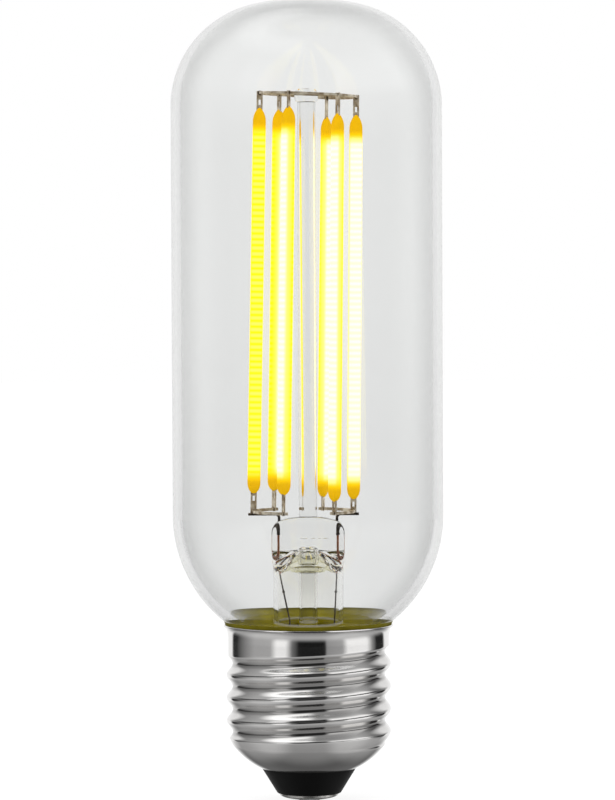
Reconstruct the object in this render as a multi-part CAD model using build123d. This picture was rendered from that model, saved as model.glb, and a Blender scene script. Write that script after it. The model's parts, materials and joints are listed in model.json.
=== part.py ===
from build123d import *
import os
from math import acos, asin, atan2, cos, degrees, radians, sin, sqrt

# Tubular filament lamp with an E27 screw cap, in millimetres.
# The origin is the lowest point of the centre contact, on the lamp's axis. +Z runs from the cap to the dome,
# and -Y is the front. Azimuths run anticlockwise from +X, seen from above.

# Centre contact and solder
CONTACT_RADIUS = 4.6
CONTACT_FLAT_RADIUS = 2.6
CONTACT_DISH = 0.5
CONTACT_THICKNESS = 0.35
CONTACT_HOLE_RADIUS = 1.0
SOLDER_RADIUS = 2.0
SOLDER_HEIGHT = 0.45
SOLDER_FLAT_RADIUS = 1.1

# Black insulator
INSULATOR_MARGIN = 0.45
INSULATOR_CONE_HEIGHT = 4.0
INSULATOR_TOP_RADIUS = 7.55

# Screw shell
SHELL_WALL = 0.3
THREAD_CREST_RADIUS = 13.1
THREAD_DEPTH = 1.0
THREAD_PITCH = 3.629
THREAD_LENGTH = 15.2
THREAD_CREST_WIDTH = 0.7
THREAD_WAIST_WIDTH = 1.9
THREAD_BASE_WIDTH = 3.2
THREAD_RUN_OUT = 2.0
THREAD_START = -7.0
SEAM_TURN = 180.0
BOWL_HEIGHT = 3.7
BOWL_KNEE_RADIUS = 9.9
BOWL_KNEE_RISE = 1.4
COLLAR_STEP = 0.3
COLLAR_HEIGHT = 2.6
COLLAR_CONE_HEIGHT = 0.6
RIM_FLARE = 0.7
RIM_HEIGHT = 0.5
RIM_EDGE = 0.3

# Basing cement
CEMENT_GAP = 0.5
CEMENT_BEAD = 0.55

# Glass envelope
BULB_RADIUS = 21.5
GLASS_WALL = 1.5
SHOULDER_OFFSET = 5.0
CROWN_RADIUS = 37.5
DOME_HEADROOM = 15.6
NECK_LENGTH = 2.7
RIM_TO_BOWL = 0.55

# Glass stem
FLARE_TUBE_RADIUS = 5.6
FLARE_WALL = 0.7
FLARE_RIM_HEIGHT = 1.0
FLARE_RIM_INSET = 0.6
FLARE_BELL_HEIGHT = 1.8
FLARE_WAIST_RADIUS = 6.6
FLARE_WAIST_RISE = 0.5
FLARE_TUBE_LENGTH = 9.2
PRESS_WIDTH = 11.6
PRESS_DEPTH = 4.8
PRESS_SHOULDER_RADIUS = 2.2
PRESS_EDGE_RADIUS = 1.8
PRESS_HEIGHT = 7.4
PRESS_ROOF_HEIGHT = 2.2
EXHAUST_RADIUS = 1.5
EXHAUST_WALL = 0.4
EXHAUST_LENGTH = 15.0
EXHAUST_HOLE_RADIUS = 0.9
POST_RADIUS = 1.45
BUTTON_RADIUS = 1.9
BUTTON_HEIGHT = 2.0
BUTTON_BEVEL = 0.5

# Lead wires
LEAD_INSET = 0.3
INNER_LEAD_RADIUS = 0.22
SEAL_WIRE_RADIUS = 0.15
OUTER_LEAD_RADIUS = 0.13
LEAD_BEND_RADIUS = 0.6
LEAD_OVERRUN = 0.8
KNOT_DEPTH = 2.4
SEAL_WIRE_LENGTH = 6.2
OUTER_LEAD_DROP = 7.6
LEFT_LEAD_SWAY = 1.6
RIGHT_LEAD_SWAY = 0.4

# Filament cage
RAIL_RADIUS = 8.0
RAIL_RISE = 1.2
RAIL_SECTION = 0.45
RAIL_SHIFT = -0.7
RING_RADIUS = 7.7
RING_SECTION = 0.36
RING_SHIFT = 0.3
RING_TILT = 2.4
CROSS_WIRE_RADIUS = 0.13
RAIL_END_TURN = 5.0
FILAMENT_COUNT = 6
FIRST_AZIMUTH = 7.0
FILAMENT_LENGTH = 61.0
FILAMENT_WIDTH = 2.05
FILAMENT_THICKNESS = 1.5
FILAMENT_BEVEL = 0.4
FILAMENT_STEP = 0.55
FILAMENT_TWISTS = (0, 0, 20, 0, -27, 0)
TAB_REACH = 2.35
TAB_OVERRUN = 0.3
TAB_EMBED = 1.2
TAB_WIDTH = 0.95
TAB_THICKNESS = 0.2
TAB_SLOT_LENGTH = 0.8
TAB_SLOT_WIDTH = 0.35
TAB_SLOT_START = 0.35
FIT = 0.03

# Driver inside the cap
BOARD_THICKNESS = 1.0
BOARD_HEIGHT = 12.5
BOARD_EDGE_GAP = 2.8
CAPACITOR_RADIUS = 2.9
CAPACITOR_LENGTH = 7.5
CHOKE_RADIUS = 3.0
CHOKE_LENGTH = 5.5
CHOKE_FLANGE = 0.8
CHOKE_CORE_RADIUS = 2.3
RECTIFIER_SIZE = (4.7, 3.9, 1.6)
CHIP_SIZE = (4.9, 3.9, 1.5)
FUSE_SIZE = (3.2, 1.6, 0.6)
HOOKUP_WIRE_RADIUS = 0.25

# Heights that follow from the sizes above, from the contact upwards
SEAT_Z = SOLDER_HEIGHT + CONTACT_THICKNESS
INSULATOR_Z = SEAT_Z + CONTACT_DISH
LIP_Z = INSULATOR_Z + INSULATOR_CONE_HEIGHT
THREAD_Z = LIP_Z + BOWL_HEIGHT
COLLAR_Z = THREAD_Z + THREAD_LENGTH
CONE_TOP_Z = COLLAR_Z + COLLAR_CONE_HEIGHT
RIM_Z = CONE_TOP_Z + COLLAR_HEIGHT
RIM_TOP_Z = RIM_Z + RIM_HEIGHT + RIM_EDGE
NECK_TOP_Z = RIM_TOP_Z - RIM_TO_BOWL
NECK_END_Z = NECK_TOP_Z - NECK_LENGTH
FLARE_RIM_Z = NECK_END_Z + FLARE_RIM_INSET
FLARE_BELL_Z = FLARE_RIM_Z + FLARE_RIM_HEIGHT
FLARE_TUBE_Z = FLARE_BELL_Z + FLARE_BELL_HEIGHT
PRESS_Z = FLARE_TUBE_Z + FLARE_TUBE_LENGTH
ROOF_Z = PRESS_Z + PRESS_ROOF_HEIGHT
PRESS_TOP_Z = PRESS_Z + PRESS_HEIGHT
RAIL_Z = PRESS_TOP_Z + RAIL_RISE
RING_Z = RAIL_Z + FILAMENT_LENGTH + 2 * TAB_REACH
APEX_Z = RING_Z + DOME_HEADROOM

# Radii and places that follow
ROOT_RADIUS = THREAD_CREST_RADIUS - THREAD_DEPTH
SHELL_BORE = ROOT_RADIUS - SHELL_WALL
COLLAR_RADIUS = THREAD_CREST_RADIUS - COLLAR_STEP
COLLAR_BORE = COLLAR_RADIUS - SHELL_WALL
RIM_RADIUS = COLLAR_RADIUS + RIM_FLARE
NECK_RADIUS = COLLAR_BORE - CEMENT_GAP
NECK_BORE = NECK_RADIUS - GLASS_WALL
BELLY_Z = NECK_TOP_Z + sqrt(BULB_RADIUS**2 - NECK_RADIUS**2)
BOWL_TURN = degrees(acos(NECK_RADIUS / BULB_RADIUS))
SHOULDER_RADIUS = BULB_RADIUS - SHOULDER_OFFSET
SHOULDER_TURN = degrees(acos(SHOULDER_OFFSET / (CROWN_RADIUS - SHOULDER_RADIUS)))
CROWN_Z = APEX_Z - CROWN_RADIUS
SHOULDER_Z = CROWN_Z + (CROWN_RADIUS - SHOULDER_RADIUS) * sin(radians(SHOULDER_TURN))
FLARE_BORE = FLARE_TUBE_RADIUS - FLARE_WALL
LEAD_X = FLARE_BORE - LEAD_INSET
LEAD_RUN_Z = RAIL_Z - RAIL_SECTION / 2 - INNER_LEAD_RADIUS
KNOT_Z = PRESS_TOP_Z - KNOT_DEPTH
SEAL_END_Z = KNOT_Z - SEAL_WIRE_LENGTH
BOARD_TOP_Z = THREAD_Z + BOARD_HEIGHT
BOARD_WIDTH = 2 * (SHELL_BORE - BOARD_EDGE_GAP)
BASE = (Align.CENTER, Align.CENTER, Align.MIN)


def turned(*outline):
    """A solid turned about the lamp's axis from a closed outline of (radius, height) lines and arcs."""
    return revolve(Plane.XZ * make_face(Curve() + list(outline)), Axis.Z)


def turned_polygon(*corners):
    """A solid turned about the lamp's axis from the corners of its section."""
    return turned(Polyline(*corners, close=True))


def wire(radius, *points):
    """A round wire through the points, bent with one radius."""
    path = FilletPolyline(*points, radius=LEAD_BEND_RADIUS) if len(points) > 2 else Line(*points)
    return sweep(Plane(origin=path @ 0, z_dir=path % 0) * Circle(radius), path=path)


def upright(radius, foot, head):
    """A round bar on the lamp's axis between two heights."""
    return Pos(0, 0, foot) * Cylinder(radius, head - foot, align=BASE)


# Cap


def contact_solder():
    """Drop of solder that fills the contact's hole, pressed flat where a holder's spring meets it."""
    return turned(
        TangentArc((SOLDER_FLAT_RADIUS, 0), (SOLDER_RADIUS, SOLDER_HEIGHT), tangent=(1, 0)),
        Polyline(
            (SOLDER_RADIUS, SOLDER_HEIGHT),
            (CONTACT_HOLE_RADIUS, SOLDER_HEIGHT),
            (CONTACT_HOLE_RADIUS, SEAT_Z),
            (0, SEAT_Z),
            (0, 0),
            (SOLDER_FLAT_RADIUS, 0),
        ),
    )


def centre_contact():
    """Dished metal disc under the insulator."""
    return turned_polygon(
        (CONTACT_HOLE_RADIUS, SOLDER_HEIGHT),
        (CONTACT_FLAT_RADIUS, SOLDER_HEIGHT),
        (CONTACT_RADIUS, SOLDER_HEIGHT + CONTACT_DISH),
        (CONTACT_RADIUS, INSULATOR_Z),
        (CONTACT_FLAT_RADIUS, SEAT_Z),
        (CONTACT_HOLE_RADIUS, SEAT_Z),
    )


def bowl_corners(inset):
    """Lip, knee and top of the shell's bowl: the outer face, or the inner one that the insulator fills."""
    return (
        (INSULATOR_TOP_RADIUS, LIP_Z + inset),
        (BOWL_KNEE_RADIUS - inset / 2, LIP_Z + BOWL_KNEE_RISE + inset),
        (ROOT_RADIUS - inset, THREAD_Z),
    )


def cap_insulator():
    """Black cone between contact and shell, with a plug that fills the bowl and a hole for the wire."""
    return turned_polygon(
        (CONTACT_HOLE_RADIUS, SEAT_Z),
        (CONTACT_FLAT_RADIUS, SEAT_Z),
        (CONTACT_RADIUS, INSULATOR_Z),
        (CONTACT_RADIUS + INSULATOR_MARGIN, INSULATOR_Z),
        (INSULATOR_TOP_RADIUS, LIP_Z),
        *bowl_corners(SHELL_WALL),
        (CONTACT_HOLE_RADIUS, THREAD_Z),
    )


def screw_shell():
    """Thin drawn shell: bowl, threaded wall, collar and flared rim."""
    body = turned_polygon(
        *bowl_corners(0),
        (ROOT_RADIUS, COLLAR_Z),
        (COLLAR_RADIUS, CONE_TOP_Z),
        (COLLAR_RADIUS, RIM_Z),
        (RIM_RADIUS, RIM_Z + RIM_HEIGHT),
        (RIM_RADIUS, RIM_TOP_Z),
        (RIM_RADIUS - SHELL_WALL, RIM_TOP_Z),
        (COLLAR_BORE, RIM_Z + RIM_EDGE),
        (COLLAR_BORE, CONE_TOP_Z),
        (SHELL_BORE, COLLAR_Z),
        *reversed(bowl_corners(SHELL_WALL)),
    )
    return Rot(0, 0, SEAM_TURN) * body + thread_ridge()


def thread_ridge():
    """Right-hand ridge of the thread. A cone runs it out into the bowl, and the collar takes it up above."""
    foot = ROOT_RADIUS - SHELL_WALL / 2
    waist = ROOT_RADIUS + THREAD_DEPTH / 2
    profile = Polyline(
        (foot, -THREAD_BASE_WIDTH / 2),
        (waist, -THREAD_WAIST_WIDTH / 2),
        (THREAD_CREST_RADIUS, -THREAD_CREST_WIDTH / 2),
        (THREAD_CREST_RADIUS, THREAD_CREST_WIDTH / 2),
        (waist, THREAD_WAIST_WIDTH / 2),
        (foot, THREAD_BASE_WIDTH / 2),
        close=True,
    )
    helix = Helix(THREAD_PITCH, THREAD_LENGTH + THREAD_BASE_WIDTH, ROOT_RADIUS)
    ridge = sweep(Plane.XZ * make_face(profile), path=helix, is_frenet=True)
    clear = THREAD_CREST_RADIUS + SHELL_WALL
    limit = turned_polygon(
        (SHELL_BORE - SHELL_WALL, THREAD_Z),
        (foot, THREAD_Z),
        (clear, THREAD_Z + THREAD_RUN_OUT),
        (clear, COLLAR_Z),
        (COLLAR_RADIUS - SHELL_WALL / 2, CONE_TOP_Z),
        (foot, COLLAR_Z),
        (SHELL_BORE - SHELL_WALL, COLLAR_Z),
    )
    start = Pos(0, 0, THREAD_Z - THREAD_BASE_WIDTH / 2) * Rot(0, 0, THREAD_START)
    return start * ridge & Rot(0, 0, SEAM_TURN) * limit


def basing_cement():
    """Ring that bonds the glass neck in the collar, with a bead up to the bowl."""
    bead_z = RIM_TOP_Z + CEMENT_BEAD
    bead_turn = BOWL_TURN - degrees(asin((BELLY_Z - bead_z) / BULB_RADIUS))
    bowl = CenterArc((0, BELLY_Z), BULB_RADIUS, -BOWL_TURN, bead_turn)
    return turned(
        Line((NECK_RADIUS, NECK_END_Z), bowl @ 0),
        bowl,
        Polyline(
            bowl @ 1,
            (RIM_RADIUS - SHELL_WALL, RIM_TOP_Z),
            (COLLAR_BORE, RIM_Z + RIM_EDGE),
            (COLLAR_BORE, NECK_END_Z),
            (NECK_RADIUS, NECK_END_Z),
        ),
    )


# Driver inside the cap


def driver_board():
    """Upright board that stands on the insulator."""
    return Pos(0, 0, THREAD_Z) * Box(BOARD_WIDTH, BOARD_THICKNESS, BOARD_HEIGHT, align=BASE)


def on_board(column, row, facing):
    """Place on the board: column -1 or 1, row 1 (low) or 3 (high), facing -1 (front) or 1 (back)."""
    x = column * BOARD_WIDTH / 4
    z = THREAD_Z + row * BOARD_HEIGHT / 4
    return Pos(x, facing * BOARD_THICKNESS / 2, z) * Rot(-90 * facing, 0, 0)


def choke():
    """Drum core with a flange at each end."""
    flange = Cylinder(CHOKE_RADIUS, CHOKE_FLANGE, align=BASE)
    core = Cylinder(CHOKE_CORE_RADIUS, CHOKE_LENGTH, align=BASE)
    return flange + core + Pos(0, 0, CHOKE_LENGTH - CHOKE_FLANGE) * flange


def driver_parts():
    """Board, its components and the two wires to the cap's contacts."""
    capacitor = Cylinder(CAPACITOR_RADIUS, CAPACITOR_LENGTH, align=BASE)
    wire_z = THREAD_Z + BOARD_HEIGHT * 3 / 4
    return {
        "driver_board": driver_board(),
        "choke": on_board(-1, 1, -1) * choke(),
        "fuse_resistor": on_board(1, 1, -1) * Box(*FUSE_SIZE, align=BASE),
        "bridge_rectifier": on_board(1, 3, -1) * Box(*RECTIFIER_SIZE, align=BASE),
        "smoothing_capacitor": on_board(1, 1, 1) * capacitor,
        "driver_chip": on_board(-1, 3, 1) * Box(*CHIP_SIZE, align=BASE),
        "contact_wire": upright(HOOKUP_WIRE_RADIUS, SEAT_Z, THREAD_Z),
        "shell_wire": wire(HOOKUP_WIRE_RADIUS, (BOARD_WIDTH / 2, 0, wire_z), (SHELL_BORE - FIT, 0, wire_z)),
    }


# Glass


def glass_envelope():
    """Dome, straight side, bowl and neck: one wall of even thickness."""
    outer = envelope_wall(0)
    inner = envelope_wall(GLASS_WALL)
    return turned(
        *outer,
        *inner,
        Line(outer[0] @ 0, inner[0] @ 0),
        Line(outer[-1] @ 1, inner[-1] @ 1),
    )


def envelope_wall(inset):
    """Edges of one face of the glass, from the neck's end to the top of the dome."""
    neck = NECK_RADIUS - inset
    side = BULB_RADIUS - inset
    crown = CROWN_RADIUS - inset
    turn = degrees(acos(neck / side))
    bowl = CenterArc((0, BELLY_Z), side, -turn, turn)
    return [
        Line((neck, NECK_END_Z), bowl @ 0),
        bowl,
        Line((side, BELLY_Z), (side, SHOULDER_Z)),
        CenterArc((SHOULDER_OFFSET, SHOULDER_Z), SHOULDER_RADIUS - inset, 0, SHOULDER_TURN),
        CenterArc((0, CROWN_Z), crown, SHOULDER_TURN, 90 - SHOULDER_TURN),
    ]


def glass_stem():
    """Flare, press, exhaust tube, post and button in one piece, sealed round its wires."""
    flare = turned_polygon(
        (0, FLARE_RIM_Z),
        (NECK_BORE, FLARE_RIM_Z),
        (NECK_BORE, FLARE_BELL_Z),
        (FLARE_WAIST_RADIUS, FLARE_BELL_Z + FLARE_WAIST_RISE),
        (FLARE_TUBE_RADIUS, FLARE_TUBE_Z),
        (FLARE_TUBE_RADIUS, PRESS_Z),
        (PRESS_DEPTH / 2, ROOF_Z + FLARE_WALL),
        (0, ROOF_Z + FLARE_WALL),
    )
    cavity = turned_polygon(
        (0, FLARE_RIM_Z),
        (NECK_BORE - FLARE_WALL, FLARE_RIM_Z),
        (FLARE_WAIST_RADIUS - FLARE_WALL, FLARE_BELL_Z + FLARE_WAIST_RISE - FLARE_WALL),
        (FLARE_BORE, FLARE_TUBE_Z - FLARE_WALL),
        (FLARE_BORE, PRESS_Z - FLARE_WALL),
        (EXHAUST_RADIUS, ROOF_Z),
        (0, ROOF_Z),
    )
    stem = flare + press() + post() - cavity + exhaust_tube() - exhaust_bore()
    return stem - [inner_lead(-1), inner_lead(1), seal_wire(-1), seal_wire(1), ring_cross_wire()]


def press():
    """Flattened head of the stem, with rounded shoulders and upright edges."""
    block = Pos(0, 0, PRESS_Z) * Box(PRESS_WIDTH, PRESS_DEPTH, PRESS_HEIGHT, align=BASE)
    block = fillet(block.edges().filter_by(Axis.Z), PRESS_EDGE_RADIUS)
    face = fillet(Rectangle(PRESS_WIDTH, 2 * PRESS_HEIGHT).vertices(), PRESS_SHOULDER_RADIUS)
    return block & extrude(Plane.XZ * Pos(0, PRESS_Z) * face, PRESS_DEPTH, both=True)


def post():
    """Centre rod and the flattened button that holds the cross wire."""
    button_z = RING_Z - BUTTON_HEIGHT / 2
    button = upright(BUTTON_RADIUS, button_z, button_z + BUTTON_HEIGHT)
    button = chamfer(button.edges().filter_by(GeomType.CIRCLE), BUTTON_BEVEL)
    return upright(POST_RADIUS, ROOF_Z + FLARE_WALL, RING_Z) + button


def exhaust_tube():
    """Pumping tube inside the flare, closed at its lower tip."""
    return upright(EXHAUST_RADIUS, ROOF_Z - EXHAUST_LENGTH, ROOF_Z + FLARE_WALL)


def exhaust_bore():
    """Bore of the pumping tube and the hole by which it opens into the bulb."""
    hole_z = ROOF_Z + FLARE_WALL
    bore = upright(EXHAUST_RADIUS - EXHAUST_WALL, ROOF_Z - EXHAUST_LENGTH + EXHAUST_WALL, hole_z)
    return bore + wire(EXHAUST_HOLE_RADIUS, (0, 0, hole_z), (0, -PRESS_DEPTH, hole_z))


# Leads


def inner_lead(side):
    """Bent wire from its knot in the press, up and outwards under its rail."""
    x = side * LEAD_X
    tip = RAIL_SHIFT + side * (RAIL_RADIUS + LEAD_OVERRUN)
    return wire(INNER_LEAD_RADIUS, (x, 0, KNOT_Z), (x, 0, LEAD_RUN_Z), (tip, 0, LEAD_RUN_Z))


def seal_wire(side):
    """Copper-clad length that the press is sealed round."""
    return wire(SEAL_WIRE_RADIUS, (side * LEAD_X, 0, SEAL_END_Z), (side * LEAD_X, 0, KNOT_Z))


def outer_lead(side, sway):
    """Thin wire from the seal wire down through the flare to the top of the board."""
    low = side * (LEAD_X - sway)
    kink_z = SEAL_END_Z - OUTER_LEAD_DROP
    head = (side * LEAD_X, 0, SEAL_END_Z - FIT)
    return wire(OUTER_LEAD_RADIUS, head, (low, 0, kink_z), (low, 0, BOARD_TOP_Z))


# Filament cage


def ring_plane():
    """Place of the top ring, tilted as it was welded."""
    return Pos(RING_SHIFT, 0, RING_Z) * Rot(0, RING_TILT, 0)


def top_ring():
    """Closed flat-rolled ring that joins the upper tabs."""
    section = Plane.XZ * Pos(RING_RADIUS, 0) * Rectangle(RING_SECTION, RING_SECTION)
    return ring_plane() * revolve(section, Axis.Z)


def ring_cross_wire():
    """Straight wire through the button, from one side of the ring to the other."""
    reach = RING_RADIUS - RING_SECTION / 2 - FIT
    return ring_plane() * wire(CROSS_WIRE_RADIUS, (-reach, 0, 0), (reach, 0, 0))


def filament_rail(first, last):
    """Open flat-rolled arc that carries the filaments between two azimuths."""
    section = Plane.XZ * Pos(RAIL_RADIUS, 0) * Rectangle(RAIL_SECTION, RAIL_SECTION)
    arc = revolve(section, Axis.Z, last - first + 2 * RAIL_END_TURN)
    return Pos(RAIL_SHIFT, 0, RAIL_Z) * Rot(0, 0, first - RAIL_END_TURN) * arc


def tab(reach, wire_section):
    """End tab along +Z from the end of a strip: a slotted neck, and a fork over the wire at its reach."""
    tip = reach + TAB_OVERRUN
    notch = reach - wire_section / 2 - FIT
    shape = Pos(0, (tip - TAB_EMBED) / 2) * Rectangle(TAB_WIDTH, tip + TAB_EMBED)
    shape -= Pos(0, (notch + tip) / 2) * Rectangle(wire_section + 2 * FIT, tip - notch)
    shape -= Pos(0, TAB_SLOT_START + TAB_SLOT_LENGTH / 2) * Rectangle(TAB_SLOT_WIDTH, TAB_SLOT_LENGTH)
    return extrude(Plane.XZ * shape, TAB_THICKNESS / 2, both=True)


def filament_strip():
    """Coated strip along +Z, with its width along X, bevelled edges and round ends."""
    section = chamfer(Rectangle(FILAMENT_WIDTH, FILAMENT_THICKNESS).vertices(), FILAMENT_BEVEL)
    face = Pos(0, FILAMENT_LENGTH / 2) * SlotOverall(FILAMENT_LENGTH, FILAMENT_WIDTH, rotation=90)
    return extrude(section, FILAMENT_LENGTH) & extrude(Plane.XZ * face, FILAMENT_THICKNESS, both=True)


def filament_parts(number, azimuth):
    """One strip and its two tabs on the line from rail to ring, with the strip's width along the radius,
    or turned from it by the strip's own twist."""
    away = Vector(cos(radians(azimuth)), sin(radians(azimuth)))
    foot = Vector(RAIL_SHIFT, 0, RAIL_Z) + away * RAIL_RADIUS
    run = (ring_plane() * Pos(away * RING_RADIUS)).position - foot
    lower_reach = TAB_REACH - (FILAMENT_STEP if away.X > 0 else -FILAMENT_STEP)
    upper_reach = run.length - FILAMENT_LENGTH - lower_reach
    lower = Rot(0, 180, 0) * tab(lower_reach, RAIL_SECTION)
    upper = Pos(0, 0, FILAMENT_LENGTH) * tab(upper_reach, RING_SECTION)
    lean = Rot(-degrees(atan2(run.Y, run.Z)), degrees(asin(run.X / run.length)), 0)
    place = Pos(foot) * lean * Rot(0, 0, azimuth) * Pos(0, 0, lower_reach)
    strip = Rot(0, 0, FILAMENT_TWISTS[number - 1]) * filament_strip()
    return {
        f"filament_{number}": place * (strip - lower - upper),
        f"filament_{number}_lower_tab": place * lower,
        f"filament_{number}_upper_tab": place * upper,
    }


def lamp():
    """Every piece by name."""
    azimuths = [FIRST_AZIMUTH + 360 / FILAMENT_COUNT * step for step in range(FILAMENT_COUNT)]
    left = [azimuth for azimuth in azimuths if cos(radians(azimuth)) < 0]
    right = [azimuth if azimuth < 180 else azimuth - 360 for azimuth in azimuths if azimuth not in left]
    parts = {
        "contact_solder": contact_solder(),
        "centre_contact": centre_contact(),
        "cap_insulator": cap_insulator(),
        "screw_shell": screw_shell(),
        "basing_cement": basing_cement(),
        "glass_envelope": glass_envelope(),
        "glass_stem": glass_stem(),
        "top_ring": top_ring(),
        "ring_cross_wire": ring_cross_wire(),
        "left_filament_rail": filament_rail(min(left), max(left)),
        "right_filament_rail": filament_rail(min(right), max(right)),
    }
    parts.update(driver_parts())
    for name, side, sway in (("left", -1, LEFT_LEAD_SWAY), ("right", 1, RIGHT_LEAD_SWAY)):
        parts[f"{name}_inner_lead"] = inner_lead(side)
        parts[f"{name}_seal_wire"] = seal_wire(side)
        parts[f"{name}_outer_lead"] = outer_lead(side, sway)
    for number, azimuth in enumerate(azimuths, 1):
        parts.update(filament_parts(number, azimuth))
    return parts


os.makedirs("parts", exist_ok=True)
for name, solid in lamp().items():
    export_step(solid, f"parts/{name}.step")
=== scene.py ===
"""Lit tubular filament lamp: clear glass, six glowing strips round a glass post, rolled screw cap."""
import json
import math

import bmesh
import bpy
from mathutils import Matrix, Vector


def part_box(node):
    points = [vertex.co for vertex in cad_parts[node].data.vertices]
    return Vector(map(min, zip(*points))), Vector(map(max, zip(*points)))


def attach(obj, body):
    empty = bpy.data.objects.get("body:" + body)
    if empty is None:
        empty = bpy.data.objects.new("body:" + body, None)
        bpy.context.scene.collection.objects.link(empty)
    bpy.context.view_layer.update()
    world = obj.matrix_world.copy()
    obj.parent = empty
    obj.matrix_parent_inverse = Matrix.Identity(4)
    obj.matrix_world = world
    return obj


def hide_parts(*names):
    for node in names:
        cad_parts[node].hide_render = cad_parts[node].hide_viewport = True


# Lengths are in millimetres and become metres when a mesh is made.
MM = 0.001

# Glass envelope
NECK_RADIUS = 12.0
NECK_TOP = 27.65
GLASS_WALL = 1.5
CROWN_WALL = 0.7
SHOULDER_OFFSET = 5.0
CROWN_RADIUS = 37.5
ARC_STEPS = 40
SIDE_STEPS = 12

# Gloss of the glass: it fades into the bowl and the dome, where the tint takes painted shade, a little darker, and
# towards the cement
BOWL_FADE = (58.0, 46.0)
DOME_FADE = (103.0, 114.0)
END_SHADE = 0.03
WETTED_FADE = (NECK_TOP + 8.0, NECK_TOP + 3.0)
WETTED_GLOSS = 0.15
# Painted olive for the stem's flare below a given height: a painted view of the cement seen through the glass
PAINTED_CEMENT_VIEW = (0.33, 0.275, 0.002)

# Glass stem
FLARE_BORE = 4.9
FLARE_TUBE_RADIUS = 5.6
PRESS_HALF_WIDTH = 5.8
PRESS_HALF_DEPTH = 2.4
PRESS_FOOT = 37.55
PRESS_TOP = 44.95
ROOF = 39.75
SHOULDER_ROUND = 2.2
POST_RADIUS = 1.45
BUTTON_RADIUS = 1.9
BUTTON_HEIGHT = 2.0
FLARE_RIM = 25.55
FLARE_BELL = 26.55
FLARE_TUBE_FOOT = 28.35
EXHAUST_RADIUS = 1.5
EXHAUST_BORE = 1.1
EXHAUST_TIP = 24.75
CUP_FOOT = 36.5
CUP_RADIUS = 2.4
CUP_BORE = 1.75
SEAM_HEIGHT = 41.85
SEAM_THICKNESS = 0.07
SEAM_BUBBLES = [(-1.3, 1.3), (0.3, 0.9), (1.5, 0.6), (2.3, 1.0)]

# Screw shell
LIP_RADIUS = 7.55
KNEE_RADIUS = 9.9
KNEE_RISE = 1.4
THREAD_FOOT = 9.0
THREAD_HEAD = 24.2
CREST_RADIUS = 13.1
ROOT_RADIUS = 12.1
SHELL_WALL = 0.3
PITCH = 3.629
THREAD_START = -7.0
THREAD_DROP = 1.6
RUN_OUT = 2.0
GROOVE_TURNS = 4
GROOVE_FADE = (380, 440)
CREST_BLEND = 0.2
RUN_OUT_BLEND = 0.3
WALL_STEPS = 130
COLLAR_RADIUS = 12.8
COLLAR_FOOT = 24.8
COLLAR_TOP = 25.7
RIM_FOOT = 27.4
RIM_FLARE_TOP = 27.9

# Contact and insulator
CONTACT_RADIUS = 4.6
CONTACT_FLAT_RADIUS = 2.6
CONTACT_FOOT = 0.45
CONTACT_DISH = 0.5
CONTACT_THICKNESS = 0.35
CONTACT_HOLE = 1.0
SOLDER_FLAT = 1.1
SOLDER_BULGE = (1.75, 0.03)
CONE_FOOT_RADIUS = 5.05
CONE_FOOT = 1.3
CONE_TOP = 5.3
CONE_EDGE = 0.18
CONE_FLARE = 0.1
CONE_SLACK = 0.03

# Basing cement
CEMENT_GRIP = 0.05
CEMENT_SLACK = 0.02

# Filament cage
RAIL_RADIUS = 8.0
RAIL_SHIFT = -0.7
RAIL_HEIGHT = 46.15
RING_RADIUS = 7.7
RING_SHIFT = 0.3
RING_HEIGHT = 111.85
RING_TILT = 2.4
FIRST_AZIMUTH = 7.0
FILAMENT_COUNT = 6
FILAMENT_LENGTH = 61.0
FILAMENT_WIDTH = 2.05
FILAMENT_THICKNESS = 1.5
TAB_REACH = 2.35
FILAMENT_STEP = 0.55
FILAMENT_TWISTS = [0, 0, 20, 0, -27, 0]
CHIP_TURNS = [-90, -90, -167, -90, -5, -90]
UPPER_TAPER = 2.2
LOWER_TAPER = 1.7
UPPER_FULLNESS = 0.75
LOWER_FULLNESS = 0.55
STRIP_ROUNDS = 40.0
STRIP_ROWS = 72
CHIP_PITCH = 0.92
UNLIT_END = 2.3
DIM_END = 3.9
HOT_END = 5.2
FOOT_LEAD = 0.8

# Weld beads on the cage and knots on the leads
WELD_RADIUS = 0.3
WELD_SEED = 3
KNOT_RADIUS = 0.22
KNOT_SEED = 5
LEAD_KNOTS = [(-4.6, 0, 42.55), (4.6, 0, 42.55), (-3.96, 0, 33.3), (4.44, 0, 33.3)]

# Camera: the photograph's picture is 615 by 800 pixels
PICTURE_HEIGHT = 800
FOCAL_PIXELS = 3906
SENSOR = 36.0
CAMERA_DISTANCE = 620.0
CAMERA_HEIGHT = 80.5
AIM_HEIGHT = 63.8
CAMERA_ROLL = -0.25

# What the lamp mirrors, as grey levels: low and high lights by azimuth in degrees from the front, level lights
# by the share of the way round from the back, the ground by the share of the way up, roof and box by height
LOW_LIGHTS = [(-180, 1.0), (-143, 1.0), (-137, 0.02), (-124, 0.03), (-84, 0.45), (-56, 0.48), (-47, 1.1),
              (-33, 1.1), (-24, 0.2), (-14, 0.01), (24, 0.01), (26, 0.35), (50, 0.42), (58, 1.1), (92, 1.1),
              (104, 0.3), (114, 0.02), (134, 0.02), (140, 1.0), (180, 1.0)]
HIGH_LIGHTS = [(-180, 0.9), (-143, 0.9), (-130, 0.3), (-88, 0.45), (-66, 0.5), (-58, 1.0), (-38, 1.0),
               (-28, 0.15), (-20, 0.02), (24, 0.02), (27, 0.4), (33, 1.1), (92, 1.1), (104, 0.3), (120, 0.15),
               (140, 0.9), (180, 0.9)]
LEVEL_LIGHTS = [(0.0, 1.0), (0.09, 0.95), (0.13, 0.3), (0.2, 0.06), (0.8, 0.06), (0.87, 0.3), (0.91, 0.95),
                (1.0, 1.0)]
GROUND_LIGHTS = [(0.0, 0.28), (0.08, 0.36), (0.2, 0.45), (0.36, 0.38)]
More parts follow.
